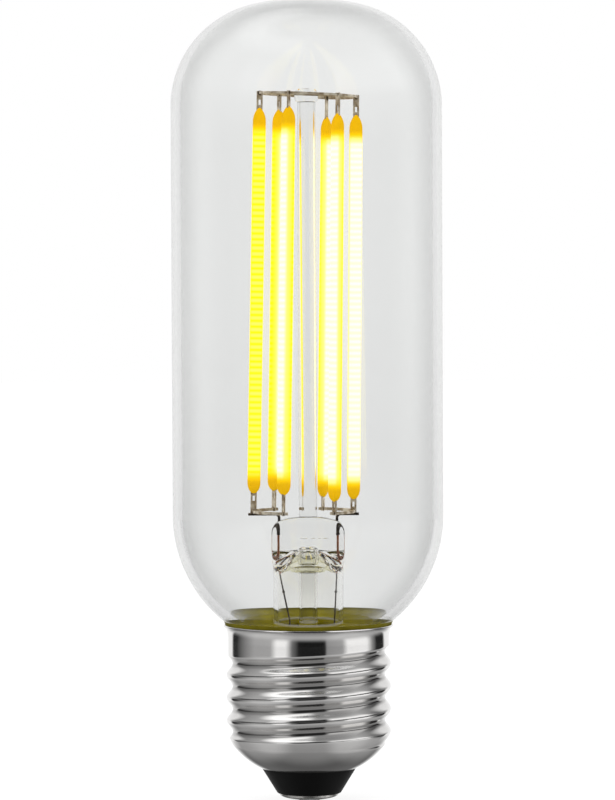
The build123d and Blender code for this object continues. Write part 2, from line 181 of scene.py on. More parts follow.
ROOF_LIGHTS = [(0.1, 0.4), (0.5, 0.5), (0.8, 0.45), (1.0, 0.2)]
OVERHEAD_BOX = [(0.72, 0.0), (0.84, 1.0), (0.92, 1.0), (0.97, 0.0)]
BOX_GLOW = 1.4
BOX_EDGE = 0.12
SOFT_GLOW = 0.75

# Mirrored rays that leave the glass turn white over this backward share
BEHIND_FADE = (-0.3, 0.7)
BEHIND_LEAST = 0.15

# Floor in metres, and soft lamps: name, place and size in metres, power in watts
FLOOR_SIZE = 6.0
FLOOR_DROP = 0.00005
FLOOR_GREY = 0.3
FLOOR_GLOW = 0.8
SOFTBOXES = [("left_softbox", (-0.7, -0.6, 0.5), 0.5, 4.0), ("right_softbox", (0.8, -0.4, 0.4), 0.5, 3.0)]

SEGMENTS = 160


# Node helpers


class Nodes:
    """Adds nodes to one tree and links them as they are added."""

    def __init__(self, tree):
        self.tree = tree

    def add(self, kind, inputs=None, **settings):
        node = self.tree.nodes.new(kind)
        for name, value in settings.items():
            setattr(node, name, value)
        for key, value in (inputs or {}).items():
            self.feed(self.socket(node, key), value)
        return node

    def socket(self, node, key):
        if isinstance(key, int):
            return node.inputs[key]
        return next(s for s in node.inputs if s.name == key and s.enabled)

    def feed(self, socket, value):
        if isinstance(value, bpy.types.NodeSocket):
            self.tree.links.new(value, socket)
        else:
            socket.default_value = value

    def math(self, operation, *values):
        return self.add("ShaderNodeMath", dict(enumerate(values)), operation=operation).outputs[0]

    def parts(self, vector):
        """X, Y and Z of a vector."""
        return self.add("ShaderNodeSeparateXYZ", {"Vector": vector}).outputs

    def reach(self, part):
        """Distance from the axis of a point with these parts."""
        squares = [self.math("POWER", part[axis], 2.0) for axis in "XY"]
        return self.math("SQRT", self.math("ADD", *squares))

    def smooth(self, value, low, high):
        """0 below low, 1 above high, with a smooth step between them."""
        inputs = {"Value": value, "From Min": low, "From Max": high, "To Min": 0.0, "To Max": 1.0}
        node = self.add("ShaderNodeMapRange", inputs, interpolation_type="SMOOTHSTEP")
        return node.outputs["Result"]

    def mix(self, factor, first, second):
        """Colour between first and second."""
        node = self.add("ShaderNodeMix", data_type="RGBA")
        for name, value in (("Factor_Float", factor), ("A_Color", first), ("B_Color", second)):
            self.feed(next(s for s in node.inputs if s.identifier == name), value)
        return next(s for s in node.outputs if s.identifier == "Result_Color")

    def noise(self, scale, detail=3.0, vector=None):
        inputs = {"Scale": scale, "Detail": detail}
        if vector is not None:
            inputs["Vector"] = vector
        return self.add("ShaderNodeTexNoise", inputs).outputs["Fac"]


def rgb(red, green, blue):
    return (red, green, blue, 1.0)


def grey(level):
    return rgb(level, level, level)


BLACK = grey(0.0)
WHITE = grey(1.0)


# Materials


def finish(name, **sockets):
    """A new material, its nodes and its shader, with constants set on the shader's own sockets."""
    material = bpy.data.materials.new(name)
    material.use_nodes = True
    shader = material.node_tree.nodes["Principled BSDF"]
    for key, value in sockets.items():
        shader.inputs[key.replace("_", " ")].default_value = value
    return material, Nodes(material.node_tree), shader


def place(nodes):
    """Object coordinates of the surface, in metres."""
    return nodes.add("ShaderNodeTexCoord").outputs["Object"]


def axis_distance(nodes, spot):
    """Distance of the surface from the lamp's axis, in metres."""
    return nodes.reach(nodes.parts(spot))


def bump(nodes, shader, height, strength, distance):
    node = nodes.add("ShaderNodeBump", {"Strength": strength, "Distance": distance, "Height": height})
    nodes.feed(shader.inputs["Normal"], node.outputs["Normal"])


def blown_glass(name, foot_painted_tint, head_painted_tint, foot, head, edge_grey, waviness, painted_cement_height=0.0, end_gloss=1.0):
    """Clear glass with the slow waves of a blown wall and faint marks, tinted by height from foot to head; the
    tint is painted light: painted shade, darker towards the foot, and on the stem's roof a painted olive
    reflection of the cement.

    It is dull where cement wets it, and below the given height it takes painted olive, a painted view of the
    cement seen through the glass. Its gloss falls to end_gloss in the bowl and the dome, where its tint also takes
    a little painted shade.
    """
    material, nodes, shader = finish(name, IOR=1.5, Specular_IOR_Level=0.5)
    spot = place(nodes)
    height = nodes.parts(spot)["Z"]

    def over(start, end):
        return nodes.smooth(height, start * MM, end * MM)

    # Painted shade: the tint by height is darker towards the foot
    tint = nodes.mix(over(foot, head), rgb(*foot_painted_tint), rgb(*head_painted_tint))
    ends = nodes.math("MAXIMUM", over(*BOWL_FADE), over(*DOME_FADE))
    # Painted shade: the tint turns a little darker in the bowl and the dome
    tint = nodes.mix(nodes.math("MULTIPLY", ends, (1.0 - end_gloss) * END_SHADE), tint, BLACK)
    facing = nodes.add("ShaderNodeLayerWeight", {"Blend": 0.5}).outputs["Facing"]
    edge = nodes.math("MULTIPLY", nodes.smooth(facing, 0.35, 0.75), edge_grey)
    clear = nodes.mix(edge, tint, BLACK)
    # Painted olive below the given height: a painted view of the cement seen through the glass, not a coat of
    # cement
    coat = over(painted_cement_height + 0.4, painted_cement_height - 0.2)
    nodes.feed(shader.inputs["Base Color"], nodes.mix(coat, clear, rgb(*PAINTED_CEMENT_VIEW)))
    nodes.feed(shader.inputs["Transmission Weight"], nodes.math("SUBTRACT", 1.0, coat))
    gloss = nodes.mix(ends, WHITE, grey(end_gloss))
    gloss = nodes.mix(over(*WETTED_FADE), gloss, grey(WETTED_GLOSS))
    nodes.feed(shader.inputs["Specular Tint"], gloss)
    waves = nodes.noise(25.0, 1.0, spot)
    bump(nodes, shader, waves, waviness, 0.0004)
    marks = nodes.smooth(nodes.noise(140.0, 4.0, spot), 0.62, 0.8)
    nodes.feed(shader.inputs["Roughness"], nodes.math("MULTIPLY", marks, 0.03))
    return material


def plated_metal(name):
    """Bright plating over drawn sheet: faint turning lines, and painted shade: lighter on the thread's crests,
    dark in its roots.
    """
    material, nodes, shader = finish(name, Metallic=1.0)
    spot = place(nodes)
    reach = axis_distance(nodes, spot)
    # Painted shade: the plate is lighter on the crests and darker towards the roots, mixed with random clouds
    crest = nodes.smooth(reach, ROOT_RADIUS * MM, CREST_RADIUS * MM)
    cloud = nodes.noise(220.0, 5.0, spot)
    shade = nodes.math("ADD", nodes.math("MULTIPLY", crest, 0.5), nodes.math("MULTIPLY", cloud, 0.5))
    plate = nodes.mix(shade, rgb(0.64, 0.63, 0.62), rgb(0.86, 0.85, 0.84))
    height = nodes.parts(spot)["Z"]
    above_foot = nodes.smooth(height, (THREAD_FOOT + 0.3) * MM, (THREAD_FOOT + 1.3) * MM)
    below_collar = nodes.smooth(height, (COLLAR_FOOT + 0.2) * MM, (COLLAR_FOOT - 0.2) * MM)
    threaded = nodes.math("MULTIPLY", above_foot, below_collar)
    # Painted shade: a dark band in the thread's roots, where shade falls
    valley = nodes.smooth(reach, (ROOT_RADIUS + 0.32) * MM, (ROOT_RADIUS + 0.02) * MM)
    painted_root_shade = nodes.math("MULTIPLY", nodes.math("MULTIPLY", threaded, valley), 0.5)
    nodes.feed(shader.inputs["Base Color"], nodes.mix(painted_root_shade, plate, rgb(0.12, 0.115, 0.11)))
    nodes.feed(shader.inputs["Roughness"], nodes.math("MULTIPLY_ADD", cloud, 0.08, 0.06))
    lines = nodes.add("ShaderNodeMapping", {"Vector": spot, "Scale": (60.0, 60.0, 9000.0)})
    bump(nodes, shader, nodes.noise(1.0, 2.0, lines.outputs["Vector"]), 0.03, 0.00003)
    return material


def dull_metal(name, dark, light, roughness, bare=1.0):
    """Bare rolled or drawn wire with heat-tinted patches."""
    material, nodes, shader = finish(name, Metallic=bare)
    spot = place(nodes)
    patches = nodes.smooth(nodes.noise(900.0, 4.0, spot), 0.35, 0.68)
    nodes.feed(shader.inputs["Base Color"], nodes.mix(patches, rgb(*dark), rgb(*light)))
    nodes.feed(shader.inputs["Roughness"], nodes.math("MULTIPLY_ADD", patches, -0.15, roughness))
    bump(nodes, shader, nodes.noise(4000.0, 2.0, spot), 0.15, 0.00002)
    return material


def black_insulator(name):
    """Pressed black glass."""
    material, nodes, shader = finish(name, Specular_IOR_Level=0.12)
    spot = place(nodes)
    cloud = nodes.noise(500.0, 4.0, spot)
    nodes.feed(shader.inputs["Base Color"], nodes.mix(cloud, grey(0.001), grey(0.003)))
    nodes.feed(shader.inputs["Roughness"], nodes.math("MULTIPLY_ADD", cloud, 0.25, 0.35))
    bump(nodes, shader, nodes.noise(1800.0, 3.0, spot), 0.12, 0.00003)
    return material


def olive_cement(name):
    """Hardened resin cement, grainy, yellower where it is thin, with painted shade darker out towards the shell's
    rim.
    """
    material, nodes, shader = finish(name, Specular_IOR_Level=0.3)
    spot = place(nodes)
    grain = nodes.noise(2600.0, 5.0, spot)
    cloud = nodes.smooth(nodes.noise(260.0, 2.0, spot), 0.3, 0.7)
    base = nodes.mix(cloud, rgb(0.26, 0.215, 0.0), rgb(0.42, 0.36, 0.003))
    base = nodes.mix(nodes.math("MULTIPLY", grain, 0.3), base, rgb(0.4, 0.36, 0.01))
    # Painted shade: the cement is darker out towards the shell's rim, under the glass bowl
    outside = nodes.smooth(axis_distance(nodes, spot), (NECK_RADIUS + 0.6) * MM, (NECK_RADIUS + 1.2) * MM)
    painted_rim_shade = nodes.math("MULTIPLY", outside, 0.6)
    nodes.feed(shader.inputs["Base Color"], nodes.mix(painted_rim_shade, base, rgb(0.07, 0.06, 0.002)))
    nodes.feed(shader.inputs["Roughness"], nodes.math("MULTIPLY_ADD", grain, 0.3, 0.6))
    bump(nodes, shader, grain, 0.3, 0.00005)
    return material


def glowing_phosphor(name):
    """Phosphor coat: orange and unlit at its ends, yellow with a ladder of chips, white on the chips' side."""
    material, nodes, shader = finish(name, Roughness=0.6, Emission_Strength=1.5, Specular_IOR_Level=0.05)
    along = nodes.add("ShaderNodeAttribute", attribute_name="along").outputs["Fac"]
    side = nodes.add("ShaderNodeAttribute", attribute_name="chip_side").outputs["Fac"]
    from_foot = nodes.math("ADD", along, FOOT_LEAD)
    from_head = nodes.math("SUBTRACT", FILAMENT_LENGTH, along)
    end = nodes.math("MINIMUM", from_foot, from_head)
    lit = nodes.smooth(end, UNLIT_END, DIM_END)
    bright = nodes.smooth(end, UNLIT_END + 0.8, HOT_END)
    turn = nodes.math("MULTIPLY", along, 2 * math.pi / CHIP_PITCH)
    ladder = nodes.math("MULTIPLY_ADD", nodes.math("SINE", turn), 0.5, 0.5)
    middle = nodes.math("MULTIPLY_ADD", nodes.smooth(nodes.math("ABSOLUTE", side), 0.2, 0.95), 0.8, 0.2)
    rungs = nodes.math("MULTIPLY", ladder, middle)
    yellow = nodes.mix(rungs, rgb(0.64, 0.61, 0.0), rgb(0.69, 0.69, 0.12))
    pale = nodes.mix(nodes.smooth(side, -0.4, 0.35), yellow, rgb(0.67, 0.67, 0.25))
    white = nodes.mix(ladder, rgb(0.8, 0.8, 0.55), rgb(1.0, 1.0, 0.75))
    hot = nodes.mix(nodes.smooth(side, 0.1, 0.85), pale, white)
    warm = nodes.mix(lit, rgb(0.29, 0.18, 0.0), rgb(0.62, 0.46, 0.0))
    nodes.feed(shader.inputs["Emission Color"], nodes.mix(bright, warm, hot))
    grain = nodes.noise(1500.0, 3.0, place(nodes))
    coat = nodes.mix(grain, rgb(0.5, 0.24, 0.0), rgb(0.6, 0.32, 0.002))
    nodes.feed(shader.inputs["Base Color"], coat)
    bump(nodes, shader, grain, 0.12, 0.00004)
    return material


def moulded(name, dark, light, roughness, scale=900.0):
    """Moulded, lacquered or glazed piece with a faint grain."""
    material, nodes, shader = finish(name)
    grain = nodes.noise(scale, 4.0, place(nodes))
    nodes.feed(shader.inputs["Base Color"], nodes.mix(grain, rgb(*dark), rgb(*light)))
    nodes.feed(shader.inputs["Roughness"], nodes.math("MULTIPLY_ADD", grain, 0.2, roughness))
    bump(nodes, shader, grain, 0.1, 0.00004)
    return material


# Geometry trees


def geometry_tree(name, **inputs):
    """A tree with a geometry input and named inputs; gives the tree, its nodes, its inputs and its output."""
    tree = bpy.data.node_groups.new(name, "GeometryNodeTree")
    tree.interface.new_socket("Geometry", in_out="INPUT", socket_type="NodeSocketGeometry")
    for key, kind in inputs.items():
        tree.interface.new_socket(key.replace("_", " "), in_out="INPUT", socket_type="NodeSocket" + kind)
    tree.interface.new_socket("Geometry", in_out="OUTPUT", socket_type="NodeSocketGeometry")
    nodes = Nodes(tree)
    return tree, nodes, nodes.add("NodeGroupInput").outputs, nodes.add("NodeGroupOutput").inputs


def close(nodes, geometry, material, output):
    """Ends a tree: realised, smooth and with its material."""
    real = nodes.add("GeometryNodeRealizeInstances", {"Geometry": geometry}).outputs["Geometry"]
    soft = nodes.add("GeometryNodeSetShadeSmooth", {"Geometry": real}).outputs["Geometry"]
    done = nodes.add("GeometryNodeSetMaterial", {"Geometry": soft, "Material": material}).outputs["Geometry"]
    nodes.feed(output["Geometry"], done)


def around_and_along(nodes, rounds, rows):
    """A flat grid to be rolled up, with each point's angle in radians and its row."""
    last = nodes.math("SUBTRACT", rows, 1.0)
    grid = nodes.add("GeometryNodeMeshGrid", {
        "Size X": 1.0, "Size Y": last, "Vertices X": nodes.math("ADD", rounds, 1.0), "Vertices Y": rows})
    flat = nodes.parts(nodes.add("GeometryNodeInputPosition").outputs[0])
    angle = nodes.math("MULTIPLY", nodes.math("ADD", flat["X"], 0.5), 2 * math.pi)
    row = nodes.math("ROUND", nodes.math("MULTIPLY_ADD", last, 0.5, flat["Y"]))
    return grid.outputs["Mesh"], angle, row


def rolled(nodes, mesh, x, y, z):
    """The grid with every point at its place, and its seam and poles closed."""
    spot = nodes.add("ShaderNodeCombineXYZ", {"X": x, "Y": y, "Z": z}).outputs[0]
    moved = nodes.add("GeometryNodeSetPosition", {"Geometry": mesh, "Position": spot}).outputs["Geometry"]
    return nodes.add("GeometryNodeMergeByDistance", {"Geometry": moved, "Distance": 1e-6}).outputs["Geometry"]


def turning_tree():
    """Turns a section, given as a row of points (radius, 0, height), about the lamp's axis, and roughens it."""
    tree, nodes, given, output = geometry_tree(
        "Turned piece", Segments="Int", Grain="Float", Grain_Depth="Float", Material="Material")
    size = nodes.add("GeometryNodeAttributeDomainSize", {"Geometry": given["Geometry"]})
    mesh, angle, row = around_and_along(nodes, given["Segments"], size.outputs["Point Count"])
    section = nodes.add("GeometryNodeSampleIndex", data_type="FLOAT_VECTOR")
    nodes.feed(nodes.socket(section, "Geometry"), given["Geometry"])
    nodes.feed(nodes.socket(section, "Value"), nodes.add("GeometryNodeInputPosition").outputs[0])
    nodes.feed(nodes.socket(section, "Index"), row)
    point = nodes.parts(section.outputs[0])
    x = nodes.math("MULTIPLY", point["X"], nodes.math("COSINE", angle))
    y = nodes.math("MULTIPLY", point["X"], nodes.math("SINE", angle))
    solid = rolled(nodes, mesh, x, y, point["Z"])
    lumps = nodes.math("SUBTRACT", nodes.noise(given["Grain"], 3.0), 0.5)
    normal = nodes.add("GeometryNodeInputNormal").outputs[0]
    lift = nodes.add("ShaderNodeVectorMath", {
        0: normal, "Scale": nodes.math("MULTIPLY", lumps, given["Grain Depth"])}, operation="SCALE").outputs[0]
    solid = nodes.add("GeometryNodeSetPosition", {"Geometry": solid, "Offset": lift}).outputs["Geometry"]
    close(nodes, solid, given["Material"], output)
    return tree


def thread_tree():
    """Rolls a rounded right-hand thread into a turned shell.

    A cone runs it out below. Above, the wall rises from the last groove to the collar, and that groove fades
    out at the back.
    """
    tree, nodes, given, output = geometry_tree(
        "Rolled thread", Root="Float", Crest="Float", Pitch="Float", Groove="Float", Foot="Float", Run_Out="Float",
        Collar="Float", Collar_Foot="Float", Skin="Float", Fade_From="Float", Fade_To="Float", Material="Material")
    part = nodes.parts(nodes.add("GeometryNodeInputPosition").outputs[0])
    radius = nodes.reach(part)
    depth = nodes.math("SUBTRACT", given["Crest"], given["Root"])
    # Angle from the back, round by the left and the front
    angle = nodes.math("WRAP", nodes.math("ARCTAN2", part["Y"], part["X"]), 2.5 * math.pi, 0.5 * math.pi)
    climb = nodes.math("DIVIDE", nodes.math("SUBTRACT", angle, math.pi), 2 * math.pi)
    groove = nodes.math("MULTIPLY_ADD", climb, given["Pitch"], given["Groove"])
    turns = nodes.math("DIVIDE", nodes.math("SUBTRACT", part["Z"], groove), given["Pitch"])
    phase = nodes.math("MULTIPLY", nodes.math("MINIMUM", turns, 0.5), 2 * math.pi)
    wave = nodes.math("MULTIPLY_ADD", nodes.math("COSINE", phase), -0.5, 0.5)
    ridge = nodes.math("MULTIPLY_ADD", wave, depth, given["Root"])
    fade = nodes.smooth(angle, given["Fade From"], given["Fade To"])
    last_ridge = nodes.math("MULTIPLY", nodes.math("GREATER_THAN", turns, -1.0), fade)
    capped = nodes.math("MAXIMUM", nodes.math("GREATER_THAN", turns, 0.0), last_ridge)
    spare = nodes.math("SUBTRACT", given["Crest"], given["Collar"])
    ceiling = nodes.math("SUBTRACT", given["Crest"], nodes.math("MULTIPLY", spare, capped))
    filled = nodes.math("MULTIPLY", nodes.math("GREATER_THAN", turns, -0.5), fade)
    step = nodes.math("SUBTRACT", given["Collar"], given["Root"])
    floor = nodes.math("MULTIPLY_ADD", filled, step, given["Root"])
    rise = nodes.math("DIVIDE", nodes.math("SUBTRACT", part["Z"], given["Foot"]), given["Run Out"])
    cone = nodes.math("MULTIPLY_ADD", rise, depth, given["Root"])
    rolled_wall = nodes.math("MAXIMUM", nodes.math("SMOOTH_MIN", ridge, ceiling, CREST_BLEND * MM), floor)
    wanted = nodes.math("MAXIMUM", radius, nodes.math("SMOOTH_MIN", rolled_wall, cone, RUN_OUT_BLEND * MM))
    swell = nodes.math("DIVIDE", wanted, radius)
    outside = nodes.math("GREATER_THAN", radius, nodes.math("SUBTRACT", given["Root"], given["Skin"]))
    in_span = nodes.math("MULTIPLY", nodes.math("GREATER_THAN", part["Z"], given["Foot"]),
                         nodes.math("LESS_THAN", part["Z"], given["Collar Foot"]))
    spot = nodes.add("ShaderNodeCombineXYZ", {
        "X": nodes.math("MULTIPLY", part["X"], swell), "Y": nodes.math("MULTIPLY", part["Y"], swell),
        "Z": part["Z"]}).outputs[0]
    solid = nodes.add("GeometryNodeSetPosition", {
        "Geometry": given["Geometry"], "Selection": nodes.math("MULTIPLY", outside, in_span),
        "Position": spot}).outputs["Geometry"]
    close(nodes, solid, given["Material"], output)
    return tree


def filament_tree():
    """One coated strip on the given point, along +Z: round ends, rounded edges, and where each point lies."""
    tree, nodes, given, output = geometry_tree(
        "Filament strip", Length="Float", Width="Float", Thickness="Float", Lower_Taper="Float",
        Upper_Taper="Float", Chip_Turn="Float", Rows="Int", Material="Material")
    mesh, angle, row = around_and_along(nodes, STRIP_ROUNDS, given["Rows"])
    share = nodes.math("DIVIDE", row, nodes.math("SUBTRACT", given["Rows"], 1.0))
    # Rows crowd at both ends, where the strip rounds off.
    crowd = nodes.math("MULTIPLY_ADD", nodes.math("COSINE", nodes.math("MULTIPLY", share, math.pi)), -0.5, 0.5)
    z = nodes.math("MULTIPLY", given["Length"], crowd)
    half_width = nodes.math("MULTIPLY", given["Width"], 0.5)
    half_depth = nodes.math("MULTIPLY", given["Thickness"], 0.5)
    foot = rounding(nodes, z, given["Lower Taper"], LOWER_FULLNESS)
    left_over = nodes.math("SUBTRACT", given["Length"], z)
    tip = rounding(nodes, left_over, given["Upper Taper"], UPPER_FULLNESS)
    neck = nodes.math("MULTIPLY", foot, tip)
    broad = squared(nodes, nodes.math("COSINE", angle))
    deep = squared(nodes, nodes.math("SINE", angle))
    x = nodes.math("MULTIPLY", nodes.math("MULTIPLY", broad, neck), half_width)
    y = nodes.math("MULTIPLY", nodes.math("MULTIPLY", deep, neck), half_depth)
    along = nodes.math("DIVIDE", z, MM)
    chips = nodes.math("COSINE", nodes.math("SUBTRACT", angle, given["Chip Turn"]))
    marked = mesh
    for name, value in (("along", along), ("chip_side", chips)):
        store = nodes.add("GeometryNodeStoreNamedAttribute", {
            "Geometry": marked, "Name": name, "Value": value}, data_type="FLOAT", domain="POINT")
        marked = store.outputs["Geometry"]
    strip = rolled(nodes, marked, x, y, z)
    placed = nodes.add("GeometryNodeInstanceOnPoints", {"Points": given["Geometry"], "Instance": strip})
    close(nodes, placed.outputs["Instances"], given["Material"], output)
    return tree


def rounding(nodes, distance, taper, fullness):
    """Share of the full width at a distance from an end that narrows over the taper."""
    drop = nodes.math("SUBTRACT", 1.0, nodes.math("MINIMUM", nodes.math("DIVIDE", distance, taper), 1.0))
    return nodes.math("POWER", nodes.math("SUBTRACT", 1.0, nodes.math("POWER", drop, 2.0)), fullness)


def squared(nodes, value):
    """A sine or cosine drawn out towards a rounded rectangle."""
    size = nodes.math("POWER", nodes.math("ABSOLUTE", value), 0.5)
    return nodes.math("MULTIPLY", size, nodes.math("SIGN", value))


def bead_tree():
    """Weld beads on the given points, each with its own size."""
    tree, nodes, given, output = geometry_tree("Weld beads", Radius="Float", Seed="Int", Material="Material")
    ball = nodes.add("GeometryNodeMeshIcoSphere", {
        "Radius": given["Radius"], "Subdivisions": 3}).outputs["Mesh"]
    limits = {"Min": 0.8, "Max": 1.25, "Seed": given["Seed"]}
    size = nodes.add("FunctionNodeRandomValue", limits, data_type="FLOAT")
    scale = next(s for s in size.outputs if s.enabled)
    beads = nodes.add("GeometryNodeInstanceOnPoints", {
        "Points": given["Geometry"], "Instance": ball, "Scale": scale}).outputs["Instances"]
    close(nodes, beads, given["Material"], output)
    return tree


# Pieces


def point_row(name, points):
    """An object whose mesh is a row of points, in millimetres."""
    mesh = bpy.data.meshes.new(name)
    mesh.from_pydata([tuple(c * MM for c in point) for point in points], [], [])
    piece = bpy.data.objects.new(name, mesh)
    bpy.context.scene.collection.objects.link(piece)
    return piece


def grow(piece, tree, **inputs):
    """Puts a tree on a piece, with its inputs set by their sockets."""
    modifier = piece.modifiers.new(tree.name, "NODES")
    modifier.node_group = tree
    for socket in tree.interface.items_tree:
        key = socket.name.replace(" ", "_")
        if socket.in_out == "INPUT" and key in inputs:
            modifier[socket.identifier] = inputs[key]


def settle(piece, sharp_degrees=40.0):
    """Makes the evaluated piece a plain mesh with faces pointing outwards."""
    graph = bpy.context.evaluated_depsgraph_get()
    mesh = bpy.data.meshes.new_from_object(piece.evaluated_get(graph))
    piece.modifiers.clear()
    piece.data = mesh
    outwards(mesh)
    mesh.set_sharp_from_angle(angle=math.radians(sharp_degrees))
    return piece


def outwards(mesh):
    shape = bmesh.new()
    shape.from_mesh(mesh)
    bmesh.ops.recalc_face_normals(shape, faces=shape.faces)
    shape.to_mesh(mesh)
    shape.free()


def dress(piece, slot, *replaced):
    """The piece rides on the lamp and stands for its nodes, which it hides; slot is not used."""
    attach(piece, "root")
    if replaced:
        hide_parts(*replaced)


def turned_piece(name, section, material, slot, node, grain=0.0, grain_depth=0.0, thread=None, sharp=40.0,
                 segments=SEGMENTS):
    """A turned piece that stands for a node, from its closed section of (radius, height) points."""
    piece = point_row(name, [(r, 0.0, z) for r, z in section])
    grow(piece, TURNING, Segments=segments, Grain=grain, Grain_Depth=grain_depth * MM, Material=material)
    if thread:
        grow(piece, THREADING, Material=material, **thread)
    settle(piece, sharp)
    dress(piece, slot, node)
    return piece


def arc(centre, radius, first, last, steps):
    """Points on an arc about centre, from the first to the last angle in degrees."""
    angles = [math.radians(first + (last - first) * i / steps) for i in range(steps + 1)]
    return [(centre[0] + radius * math.cos(a), centre[1] + radius * math.sin(a)) for a in angles]


def straight(start, end, steps):
    """Points on a line, both ends included."""
    return [tuple(a + (b - a) * i / steps for a, b in zip(start, end)) for i in range(steps + 1)]


def bend(start, corner, end, steps):
    """Points on a curve that leaves start towards corner and reaches end from it."""
    shares = [i / steps for i in range(steps + 1)]
    return [tuple(a * (1 - t) ** 2 + 2 * b * t * (1 - t) + c * t * t for a, b, c in zip(start, corner, end))
            for t in shares]


def envelope_section():
    """Neck, bowl, side and dome outside, and back down inside, where the blown wall thins towards the crown."""
    low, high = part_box("glass_envelope")
    side = high.x / MM
    foot = low.z / MM
    apex = high.z / MM
    belly = NECK_TOP + math.sqrt(side**2 - NECK_RADIUS**2)
    shoulder = side - SHOULDER_OFFSET
    turn = math.degrees(math.acos(SHOULDER_OFFSET / (CROWN_RADIUS - shoulder)))
    crown = apex - CROWN_RADIUS
    shoulder_z = crown + (CROWN_RADIUS - shoulder) * math.sin(math.radians(turn))

    def wall(inset, crown_inset):
        neck = NECK_RADIUS - inset
        bowl = -math.degrees(math.acos(neck / (side - inset)))
        points = [(neck, foot)] + arc((0, belly), side - inset, bowl, 0, ARC_STEPS)
        points += straight((side - inset, belly), (side - inset, shoulder_z), SIDE_STEPS)[1:-1]
        for (r, z), radius, first, last in (((SHOULDER_OFFSET, shoulder_z), shoulder, 0, turn),
                                            ((0, crown), CROWN_RADIUS, turn, 90)):
            for i in range(1 if first else 0, ARC_STEPS + 1):
                slope = first + (last - first) * i / ARC_STEPS
                reach = radius - inset - (crown_inset - inset) * slope / 90
                along = math.radians(slope)
                points.append((r + reach * math.cos(along), z + reach * math.sin(along)))
        return points[:-1] + [(0, apex - crown_inset)]

    return wall(0, 0) + wall(GLASS_WALL, CROWN_WALL)[::-1] + [(NECK_RADIUS, foot)]


def shell_section():
    """Bowl, wall, collar and rim outside, and the plain bore inside."""
    low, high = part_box("screw_shell")
    lip = low.z / MM
    rim_top = high.z / MM
    rim = high.x / MM
    knee = (KNEE_RADIUS, lip + KNEE_RISE)
    swell = (KNEE_RADIUS + 0.35, lip + KNEE_RISE - 0.1)
    bowl = bend((LIP_RADIUS, lip), swell, (ROOT_RADIUS, THREAD_FOOT), 14)
    wall = straight((ROOT_RADIUS, THREAD_FOOT), (ROOT_RADIUS, THREAD_HEAD), WALL_STEPS)[1:]
    collar = straight((ROOT_RADIUS, THREAD_HEAD), (COLLAR_RADIUS, COLLAR_FOOT), 6)[1:]
    collar += straight((COLLAR_RADIUS, COLLAR_FOOT), (COLLAR_RADIUS, COLLAR_TOP), 6)[1:]
    flare = bend((COLLAR_RADIUS, COLLAR_TOP), (COLLAR_RADIUS, RIM_FOOT + 0.2), (rim, RIM_FLARE_TOP), 16)[1:]
    edge = [(rim, rim_top - 0.1), (rim - 0.1, rim_top), (rim - SHELL_WALL, rim_top)]
    bore = COLLAR_RADIUS - SHELL_WALL
    inside = [(bore, RIM_FOOT + SHELL_WALL), (bore, COLLAR_FOOT), (ROOT_RADIUS - SHELL_WALL, THREAD_HEAD),
              (ROOT_RADIUS - SHELL_WALL, THREAD_FOOT), (knee[0] - SHELL_WALL / 2, knee[1] + SHELL_WALL),
              (LIP_RADIUS, lip + SHELL_WALL), (LIP_RADIUS, lip)]
    return bowl + wall + collar + flare + edge + inside


def insulator_section():
    """Cone with softened edges, and the plug that fills the bowl."""
    foot = CONE_FOOT_RADIUS
    flank = (foot + CONE_FLARE, CONE_FOOT + CONE_EDGE)
    head = LIP_RADIUS - CONE_SLACK
    cone = bend((foot - CONE_EDGE, CONE_FOOT), (foot, CONE_FOOT), flank, 5)
    cone += straight(flank, (head, CONE_TOP), 8)[1:]
    plug = [(head, CONE_TOP + SHELL_WALL), (ROOT_RADIUS - 2 * SHELL_WALL, THREAD_FOOT),
            (CONTACT_HOLE, THREAD_FOOT)]
    return [(CONTACT_HOLE, CONE_FOOT)] + cone + plug + [(CONTACT_HOLE, CONE_FOOT)]


def contact_section():
    """Dished disc with a turned-up edge."""
    flat, rim = CONTACT_FLAT_RADIUS, CONTACT_RADIUS
    low, high = CONTACT_FOOT, CONTACT_FOOT + CONTACT_THICKNESS
    dish = bend((flat, low), (rim - 0.6, low + 0.1), (rim, low + CONTACT_DISH), 10)
    back = [(rim, high + CONTACT_DISH), (flat, high), (CONTACT_HOLE, high)]
    return [(CONTACT_HOLE, low)] + dish + back + [(CONTACT_HOLE, low)]


def solder_section():
    """Flattened drop over the contact's hole."""
    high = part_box("contact_solder")[1]
    top = high.z / MM
    drop = bend((SOLDER_FLAT, 0), SOLDER_BULGE, (high.x / MM, CONTACT_FOOT), 10)
    return [(0, 0)] + drop + [(CONTACT_HOLE, CONTACT_FOOT), (CONTACT_HOLE, top), (0, top)]


def cement_section():
    """Ring between neck and collar, with its bead up against the bowl."""
    low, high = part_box("basing_cement")
    shell_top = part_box("screw_shell")[1].z / MM
    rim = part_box("screw_shell")[1].x / MM
    foot, top, reach = low.z / MM, high.z / MM, high.x / MM
    neck = NECK_RADIUS - CEMENT_GRIP
    bore = COLLAR_RADIUS - SHELL_WALL - CEMENT_SLACK
    inner = bend((neck, NECK_TOP), (NECK_RADIUS + 0.5, NECK_TOP + 0.55), (reach - CEMENT_GRIP, top), 8)
    bead = bend((reach, top), (rim - 0.05, top - 0.05), (rim - SHELL_WALL, shell_top), 6)
    return [(neck, foot)] + inner + bead + [(bore, RIM_FOOT + SHELL_WALL), (bore, foot), (neck, foot)]


def ring_of(height, across, deep, power, centre=0.0):
    """Points round one height: a circle at power 2, a rounded rectangle above it."""
    points = []
    for i in range(SEGMENTS):
        turn = 2 * math.pi * i / SEGMENTS
        c, s = math.cos(turn), math.sin(turn)
        reach = (abs(c / across) ** power + abs(s / deep) ** power) ** (-1 / power)
        points.append(((centre + reach * c) * MM, reach * s * MM, height * MM))
    return points


def ease(value, low, high):
    """Smooth share of the way from low to high."""
    t = min(1.0, max(0.0, (value - low) / (high - low)))
    return t * t * (3 - 2 * t)


